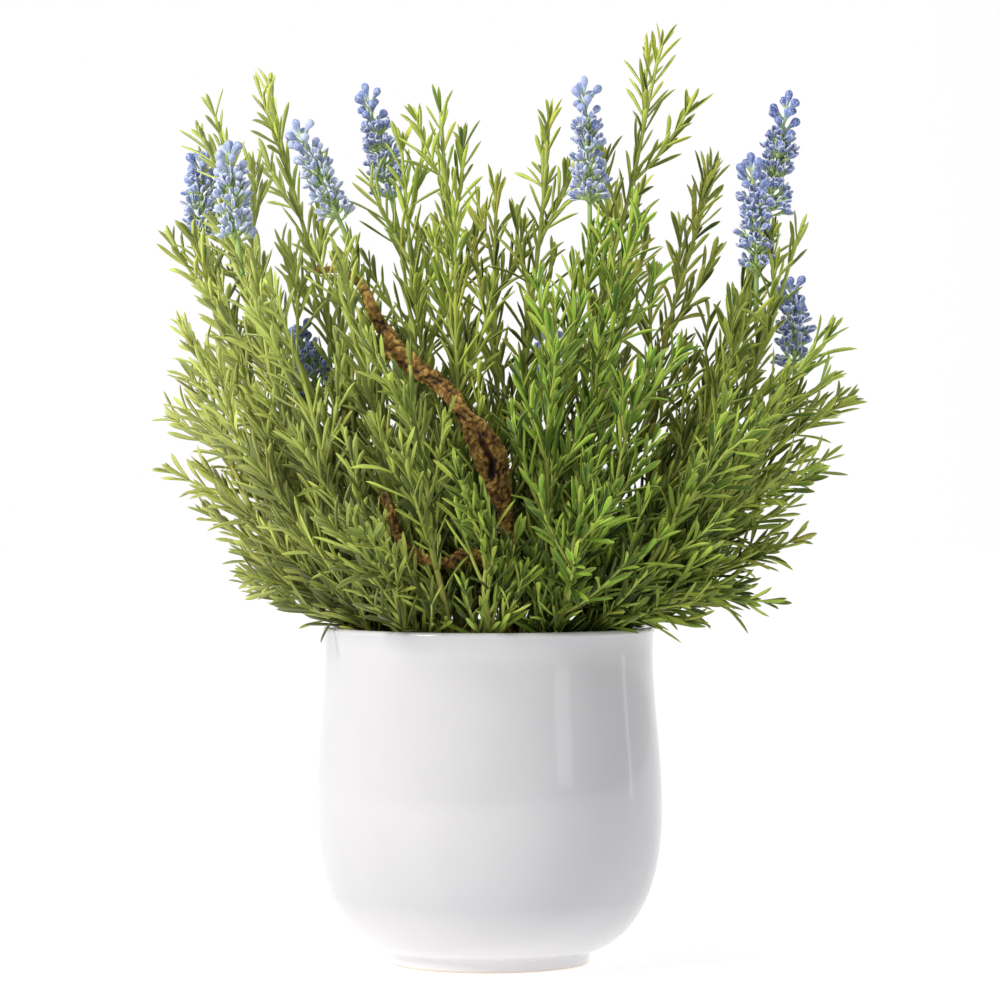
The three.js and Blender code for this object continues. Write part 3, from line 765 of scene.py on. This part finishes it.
# ---------------------------------------------------------------- soil
SOIL_EDGE = NECK_RADIUS - WALL - 0.6 * MM
SOIL_CROWN = 3 * MM  # how much higher the soil is in the middle than at its edge
SOIL_RINGS, SOIL_SIDES = 70, 160
LUMP_WIDTH, LUMP_HEIGHT = 4 * MM, 1.1 * MM
CRUMBS = 420
CRUMB_SWELL = np.array((0.35, 0.8, 1.0, 0.7, 0.3))


def soil_surface(turn):
    """The lumpy top of the soil, as rings of points from the middle out."""
    top = np.linspace(0.006, 1, SOIL_RINGS)
    radius = (top * SOIL_EDGE)[:, None] * np.ones(SOIL_SIDES)
    x, y = radius * np.cos(turn), radius * np.sin(turn)
    height = np.empty_like(x)
    for i in range(SOIL_RINGS):
        for j in range(SOIL_SIDES):
            lumps = noise.fractal(Vector((x[i, j] / LUMP_WIDTH, y[i, j] / LUMP_WIDTH, 0.0)), 0.9, 2.1, 4)
            height[i, j] = SOIL_TOP - SOIL_CROWN * top[i] ** 2 - 1.0 * MM + LUMP_HEIGHT * lumps
    return np.stack([x, y, np.minimum(height, SOIL_TOP + 0.6 * MM)], axis=-1)


def add_crumb(shape, rng):
    """A crumb that is half sunk in the soil."""
    out, around = SOIL_EDGE * math.sqrt(rng.random()) * 0.97, rng.uniform(0, 2 * math.pi)
    size = rng.uniform(0.5, 1.9) * MM
    level = SOIL_TOP - SOIL_CROWN * (out / SOIL_EDGE) ** 2 - 0.7 * MM
    centre = np.array((out * math.cos(around), out * math.sin(around), level))
    lean = unit(rng.normal(0, 1, 3))
    path = centre + lean * np.linspace(-size, size, len(CRUMB_SWELL))[:, None]
    radii = size * CRUMB_SWELL * rng.uniform(0.6, 1.1)
    add_tube(shape, path, radii, 6, rng.random(), 0.0)


def make_soil(material):
    """A crumbly top on a body that fills the pot."""
    rng = np.random.default_rng(SOIL_SEED)
    turn = turns(SOIL_SIDES)
    bowl = [
        (SOIL_EDGE, SOIL_FLOOR + 60 * MM),
        (SOIL_EDGE * 0.95, SOIL_FLOOR + 25 * MM),
        (44 * MM, SOIL_FLOOR),
        (0.3 * MM, SOIL_FLOOR),
    ]
    low = [np.stack([r * np.cos(turn), r * np.sin(turn), np.full(SOIL_SIDES, z)], axis=-1) for r, z in bowl]
    points = np.concatenate([soil_surface(turn), np.stack(low)])[::-1]
    marks = np.zeros_like(points)
    marks[..., 0] = 0.5  # a middling tone
    shape = Shape()
    shape.add_rings(points, marks)
    for _ in range(CRUMBS):
        add_crumb(shape, rng)
    piece = shape.to_object("peat_soil", [material])
    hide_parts("potting_soil")
    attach(piece, "root")


# ---------------------------------------------------------------- trunk
BARK_DEPTH = 1.0  # of a clump of bark, in millimetres
WOOD_CORE = 0.8  # the share of a limb's radius that is under the bark
KNOB_CRACK = ((-2.5, 208), (1.5, 201), (0.5, 195))  # x and z down the split in the swollen part of the trunk
CRACK_FRONT = -47  # the split is only on the wood in front of this y
CRACK_HALF_WIDTH = 1.1
KNOB_WIDTH, CLUMP_WIDTH, CRUST_WIDTH = 6.5, 3.2, 1.7  # in millimetres


def bark_rise(spot):
    """How far bark stands out at a spot in millimetres: knobs, clumps and crust, and one deep split."""
    knob = noise.noise(spot / KNOB_WIDTH)
    clump = min(0.4, 4 * abs(noise.noise(spot / CLUMP_WIDTH + Vector((5, 0, 0)))) - 0.6)
    crust = noise.fractal(spot / CRUST_WIDTH, 0.8, 2.0, 3)
    return 0.9 * knob + 0.7 * clump + 0.75 * crust - 2.6 * split(spot)


def split(spot):
    """How deep in the knob's split a spot is, from 0 outside it to 1 in the middle."""
    if spot.y > CRACK_FRONT:
        return 0.0
    nearest = math.inf
    for (x0, z0), (x1, z1) in zip(KNOB_CRACK, KNOB_CRACK[1:]):
        run = Vector((x1 - x0, z1 - z0))
        away = Vector((spot.x - x0, spot.z - z0))
        share = min(1.0, max(0.0, away.dot(run) / run.length_squared))
        nearest = min(nearest, (away - run * share).length)
    return math.exp(-((nearest / CRACK_HALF_WIDTH) ** 2))


def add_bark(shape, rows, rings, sides):
    """A limb with lumpy bark. Its marks hold how far the bark stands out, for painted shade in the cracks and
    a painted highlight on the ridges.
    """
    rows = smooth_path(rows, rings)
    path, radii = rows[:, :3], rows[:, 3] * WOOD_CORE
    _, across, upward = carried_frames(path)
    circle = unit_circles(across, upward, turns(sides))
    skin = path[:, None] + circle * radii[:, None, None]
    rise = np.array([[bark_rise(Vector(spot)) for spot in ring] for ring in skin])
    travelled = distances(path)
    ends = np.clip(np.minimum(travelled, travelled[-1] - travelled) / 1.5, 0.05, 1)  # rounded over 1.5 mm
    thin = np.minimum(1, radii / 4)  # a limb thinner than 4 mm has finer bark
    swell = (radii[:, None] + BARK_DEPTH * rise * thin[:, None]) * np.sqrt(ends)[:, None]
    marks = np.zeros((rings, sides, 3))
    # the cracks get painted shade and the ridges a painted highlight from this mark
    marks[..., 0] = 0.45 + rise * 0.4
    marks[..., 1] = np.linspace(0, 1, rings)[:, None]
    shape.add_rings((path[:, None] + circle * swell[..., None]) * MM, marks)


def make_trunk(material):
    """The trunk, its branch and its stub in one piece, with rings close enough to carry the bark."""
    shape = Shape()
    add_bark(shape, TRUNK, 560, 88)
    add_bark(shape, TRUNK_BRANCH, 220, 48)
    add_bark(shape, TRUNK_STUB, 50, 36)
    piece = shape.to_object("gnarled_trunk", [material])
    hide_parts("woody_trunk")
    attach(piece, "root")


# ---------------------------------------------------------------- materials
def linear(hex_colour):
    """An sRGB hex colour as linear light."""
    parts = [int(hex_colour[i : i + 2], 16) / 255 for i in (1, 3, 5)]
    return (*[c / 12.92 if c <= 0.04045 else ((c + 0.055) / 1.055) ** 2.4 for c in parts], 1.0)


def node(tree, kind, inputs=None, **settings):
    """Adds a node with its settings. Each input is given a value, a hex colour or another node's output."""
    made = tree.nodes.new(kind)
    for name, value in settings.items():
        setattr(made, name, value)
    for socket, value in (inputs or {}).items():
        if isinstance(value, bpy.types.NodeSocket):
            tree.links.new(value, made.inputs[socket])
        elif isinstance(value, str):
            made.inputs[socket].default_value = linear(value)
        else:
            made.inputs[socket].default_value = value
    return made


def new_material(name):
    made = bpy.data.materials.new(name)
    made.use_nodes = True
    made.node_tree.nodes.clear()
    return made, made.node_tree


def finish_material(material, inputs):
    """Gives a material its one shader, and hands the material back."""
    shader = node(material.node_tree, "ShaderNodeBsdfPrincipled", inputs)
    node(material.node_tree, "ShaderNodeOutputMaterial", {"Surface": shader.outputs[0]})
    return material


def read_marks(tree):
    """The three marks of each point: its leaf's tone, how far along the leaf it is, how near the margin."""
    marks = node(tree, "ShaderNodeAttribute", attribute_name="marks")
    return node(tree, "ShaderNodeSeparateXYZ", {0: marks.outputs["Vector"]}).outputs


def read_value(tree, name):
    return node(tree, "ShaderNodeAttribute", attribute_name=name).outputs["Fac"]


def object_place(tree):
    return node(tree, "ShaderNodeTexCoord").outputs["Object"]


# A colour Mix node names several sockets alike, so they are told apart by place.
MIX_SHARE, MIX_UNDER, MIX_OVER, MIX_RESULT = 0, 6, 7, 2


def layer(tree, under, over, amount, low=0.0, high=1.0, most=1.0):
    """Lays one colour over another: none where the amount is at low, and its most where it is at high."""
    ranged = node(
        tree,
        "ShaderNodeMapRange",
        {"Value": amount, "From Min": low, "From Max": high, "To Min": 0.0, "To Max": most},
    )
    mixed = node(
        tree,
        "ShaderNodeMix",
        {MIX_SHARE: ranged.outputs[0], MIX_UNDER: under, MIX_OVER: over},
        data_type="RGBA",
    )
    return mixed.outputs[MIX_RESULT]


def mottle(tree, grain_mm, detail=3.0):
    """Soft noise whose patches are about grain_mm across."""
    place, scale = object_place(tree), 1 / (grain_mm * MM)
    patches = node(tree, "ShaderNodeTexNoise", {"Vector": place, "Scale": scale, "Detail": detail})
    return patches.outputs[0]


def shaded_crown(tree, leaf, tone):
    """Painted shade on the leaves near the crown, where the bush is deepest, and more of it where a leaf's
    own tone is low.
    """
    crown = (0, 0, PLANTED_AT * MM)
    away = node(tree, "ShaderNodeVectorMath", {0: object_place(tree), 1: crown}, operation="DISTANCE")
    near = node(
        tree,
        "ShaderNodeMapRange",
        {"Value": away.outputs[1], "From Min": 190 * MM, "From Max": 30 * MM, "To Min": 0.0, "To Max": 0.85},
    )
    shade_by_tone = node(
        tree,
        "ShaderNodeMapRange",
        {"Value": tone, "From Min": 0.15, "From Max": 0.9, "To Min": 1.45, "To Max": 0.25},
    )
    crown_shade = node(tree, "ShaderNodeMath", {0: near.outputs[0], 1: shade_by_tone.outputs[0]}, operation="MULTIPLY")
    # painted shade: a dark green laid over the leaves near the crown
    return layer(tree, leaf, "#28340F", crown_shade.outputs[0])


def foliage_material():
    """Rosemary leaf and green stem: matte and waxy, olive in the fold, yellow-green at the tip; the pale
    margin is partly its own colour, partly a painted highlight.

    Painted light makes the leaves paler on the left side, and painted shade makes them darker on the right
    side and darkest at the crown.
    """
    material, tree = new_material("Rosemary leaf")
    tone, along, margin = read_marks(tree)
    olive = layer(tree, "#46591A", "#D8DC64", tone)
    bright = layer(tree, "#316A16", "#ACDC4C", tone)
    leaf = layer(tree, olive, bright, read_value(tree, "fresh"), 0.0, 0.8, 0.95)
    leaf = layer(tree, leaf, "#62752E", mottle(tree, 5), 0.4, 0.75, 0.3)
    # the margin: partly the leaf's own paler colour, partly a painted highlight
    leaf = layer(tree, leaf, "#E0E478", margin, 0.55, 0.95, 0.75)
    leaf = layer(tree, leaf, "#C9C85A", along, 0.8, 1.0, 0.45)  # the tip
    leaf = layer(tree, leaf, "#B0B860", along, 0.3, 0.0, 0.4)  # the root
    leaf = layer(tree, leaf, "#9A7A38", tone, 0.9, 1.0, 0.45)  # a few dry leaves
    leaf = shaded_crown(tree, leaf, tone)
    sideways = node(tree, "ShaderNodeSeparateXYZ", {0: object_place(tree)}).outputs[0]
    # painted light pales the leaves on the left (-x) side; painted shade darkens them on the right (+x) side
    leaf = layer(tree, leaf, "#E4E8A2", sideways, -10 * MM, -95 * MM, 0.22)
    leaf = layer(tree, leaf, "#22300F", sideways, 15 * MM, 100 * MM, 0.16)
    stem = layer(tree, "#9A9650", "#A4B654", along)
    colour = layer(tree, leaf, stem, read_value(tree, "kind"))
    bump = node(tree, "ShaderNodeBump", {"Strength": 0.25, "Distance": 0.2 * MM, "Height": mottle(tree, 0.8)})
    waxy = {"Roughness": 0.46, "IOR": 1.45, "Specular IOR Level": 0.35}
    return finish_material(material, {"Base Color": colour, "Normal": bump.outputs[0], **waxy})


def flower_material():
    """Blue floret: a dry matte petal, violet-blue with a frosted pale margin and a pale green throat."""
    material, tree = new_material("Blue floret")
    tone, along, margin = read_marks(tree)
    deep = layer(tree, "#203A8C", "#5672C2", tone)
    light = layer(tree, "#8094C4", "#C4CEE6", tone)
    petal = layer(tree, deep, light, read_value(tree, "pale"))
    petal = layer(tree, petal, "#C2CEE8", mottle(tree, 0.8), 0.47, 0.65, 0.65)
    petal = layer(tree, petal, "#E4EAF5", margin, 0.4, 0.95, 0.85)
    petal = layer(tree, petal, "#E4EAF5", along, 0.86, 1.0, 0.8)  # the tip
    petal = layer(tree, petal, "#B9CE9A", along, 0.5, 0.24, 0.95)  # the throat
    stalk = layer(tree, "#7FA055", "#B7CC8C", along)
    colour = layer(tree, petal, stalk, read_value(tree, "kind"))
    return finish_material(material, {"Base Color": colour, "Roughness": 0.62, "IOR": 1.42})


def glaze_material():
    """White stoneware glaze, dipped and fired: a glassy coat with soft highlights, and painted light from the
    floor that makes it paler towards the foot.
    """
    material, tree = new_material("White stoneware glaze")
    colour = layer(tree, "#BDBDC2", "#C3C3C7", mottle(tree, 22, 2.0))
    height = node(tree, "ShaderNodeSeparateXYZ", {0: object_place(tree)}).outputs[2]
    # painted light: paler towards the foot, where light from the floor falls
    colour = layer(tree, colour, "#E6E4E6", height, 28 * MM, 2 * MM)
    swells = mottle(tree, 14, 1.0)
    ripple = node(tree, "ShaderNodeBump", {"Strength": 0.12, "Distance": 0.3 * MM, "Height": swells})
    rough = node(
        tree,
        "ShaderNodeMapRange",
        {"Value": mottle(tree, 6, 2.0), "From Min": 0.3, "From Max": 0.7, "To Min": 0.08, "To Max": 0.13},
    )
    glassy = {"Roughness": rough.outputs[0], "IOR": 1.5, "Coat Weight": 0.4, "Coat Roughness": 0.06}
    return finish_material(material, {"Base Color": colour, "Normal": ripple.outputs[0], **glassy})


def bare_clay_material():
    """Wiped stoneware where the foot stands in the kiln: dry, peach-buff and finely gritty."""
    material, tree = new_material("Bare stoneware foot")
    grit = mottle(tree, 0.6)
    colour = layer(tree, "#DCC7B0", "#EADBCA", grit)
    bump = node(tree, "ShaderNodeBump", {"Strength": 0.4, "Distance": 0.15 * MM, "Height": grit})
    return finish_material(material, {"Base Color": colour, "Roughness": 0.85, "Normal": bump.outputs[0]})


def soil_material():
    """Peat potting mix: dark, crumbly and dull, with lighter shreds of bark."""
    material, tree = new_material("Peat potting mix")
    tone = read_marks(tree)[0]
    colour = layer(tree, "#20160F", "#4A3524", mottle(tree, 3))
    colour = layer(tree, colour, "#7A5F42", tone, 0.8, 1.0, 0.7)
    bump = node(tree, "ShaderNodeBump", {"Strength": 0.6, "Distance": 0.5 * MM, "Height": mottle(tree, 1.2)})
    return finish_material(material, {"Base Color": colour, "Roughness": 0.95, "Normal": bump.outputs[0]})


def bark_material():
    """Weathered bark: rough and dry, brown on the clumps, nearly black in the cracks from painted shade, tan
    on the ridges from a painted highlight.
    """
    material, tree = new_material("Weathered bark")
    ridge = read_marks(tree)[0]
    # painted shade: nearly black in the cracks, brown on the clumps
    colour = layer(tree, "#20120A", "#7A5B26", ridge, 0.16, 0.48)
    # painted highlight: tan on the ridges
    colour = layer(tree, colour, "#C8A458", ridge, 0.5, 0.86, 0.9)
    colour = layer(tree, colour, "#63401A", mottle(tree, 6), 0.5, 0.7, 0.4)
    crumbs = mottle(tree, 0.6, 5.0)
    bump = node(tree, "ShaderNodeBump", {"Strength": 1.0, "Distance": 0.4 * MM, "Height": crumbs})
    dry = {"Roughness": 0.68, "Specular IOR Level": 0.3}
    return finish_material(material, {"Base Color": colour, "Normal": bump.outputs[0], **dry})


# ---------------------------------------------------------------- studio
def aim(thing, spot):
    toward = Vector(spot) - thing.location
    thing.rotation_euler = toward.to_track_quat("-Z", "Y").to_euler()


def add_camera():
    """A long lens a little above the middle of the plant."""
    data = bpy.data.cameras.new("camera")
    data.lens, data.sensor_width = 162, 36
    data.clip_end = 50
    camera = bpy.data.objects.new("camera", data)
    camera.location = (0.0044, -1.8, 0.215)
    aim(camera, (0.0044, 0, 0.185))
    scene.collection.objects.link(camera)
    scene.camera = camera


def add_softbox(name, place, spot, size, power, tint="#FFFFFF"):
    data = bpy.data.lights.new(name, "AREA")
    data.shape = "RECTANGLE"
    data.size, data.size_y = size
    data.energy = power
    data.color = linear(tint)[:3]
    lamp = bpy.data.objects.new(name, data)
    lamp.location = place
    aim(lamp, spot)
    scene.collection.objects.link(lamp)


def add_floor():
    """A wide pale floor that glows a little, so that it meets the backdrop without a line."""
    mesh = bpy.data.meshes.new("studio_floor")
    reach = 6.0
    corners = [(-reach, -reach, 0), (reach, -reach, 0), (reach, reach, 0), (-reach, reach, 0)]
    mesh.from_pydata(corners, [], [(0, 1, 2, 3)])
    floor = bpy.data.objects.new("studio_floor", mesh)
    scene.collection.objects.link(floor)
    paint, _ = new_material("Pale studio floor")
    glow = {"Emission Color": "#FFFFFF", "Emission Strength": 0.72}
    mesh.materials.append(finish_material(paint, {"Base Color": "#A8A8A8", "Roughness": 0.9, **glow}))


def light_air():
    """White air all round, brightest behind and to the left, and dimmer in front and to the right."""
    world = bpy.data.worlds.new("studio_air")
    scene.world = world
    world.use_nodes = True
    tree = world.node_tree
    toward = node(tree, "ShaderNodeTexCoord").outputs["Generated"]
    rightward, backward, _ = node(tree, "ShaderNodeSeparateXYZ", {0: toward}).outputs
    side = node(tree, "ShaderNodeMath", {0: rightward, 1: 0.8}, operation="MULTIPLY")
    slope = node(tree, "ShaderNodeMath", {0: backward, 1: side.outputs[0]}, operation="SUBTRACT")
    strength = node(
        tree,
        "ShaderNodeMapRange",
        {"Value": slope.outputs[0], "From Min": -0.9, "From Max": 0.92, "To Min": 0.44, "To Max": 1.0},
    )
    background = tree.nodes["Background"]
    tree.links.new(strength.outputs[0], background.inputs["Strength"])
    background.inputs["Color"].default_value = linear("#FFFFFF")


def add_studio():
    """A pale floor, bright air, a large soft window on the left and two faint lights on the right."""
    add_floor()
    light_air()
    add_softbox("left_window", (-1.3, -1.1, 1.3), (0, 0, 0.2), (0.6, 0.8), 38, "#FFFAF2")
    add_softbox("right_window", (1.14, -0.93, 0.5), (0, 0, 0.1), (0.3, 0.8), 0.75)
    add_softbox("right_strip", (1.4, 0.42, 0.45), (0, 0, 0.1), (0.08, 1.3), 0.3)
    scene.view_settings.view_transform = "Standard"


# ---------------------------------------------------------------- assembly
add_camera()
make_pot(glaze_material(), bare_clay_material())
make_soil(soil_material())
make_trunk(bark_material())
leaf_finish = foliage_material()
for place, row in enumerate([*SPRIGS, *FLOWERING_SPRIGS]):
    grow_sprig(place, row, leaf_finish)
floret_finish = flower_material()
for place, row in enumerate(FLOWERING_SPRIGS):
    grow_spike(place, row, floret_finish)
add_studio()
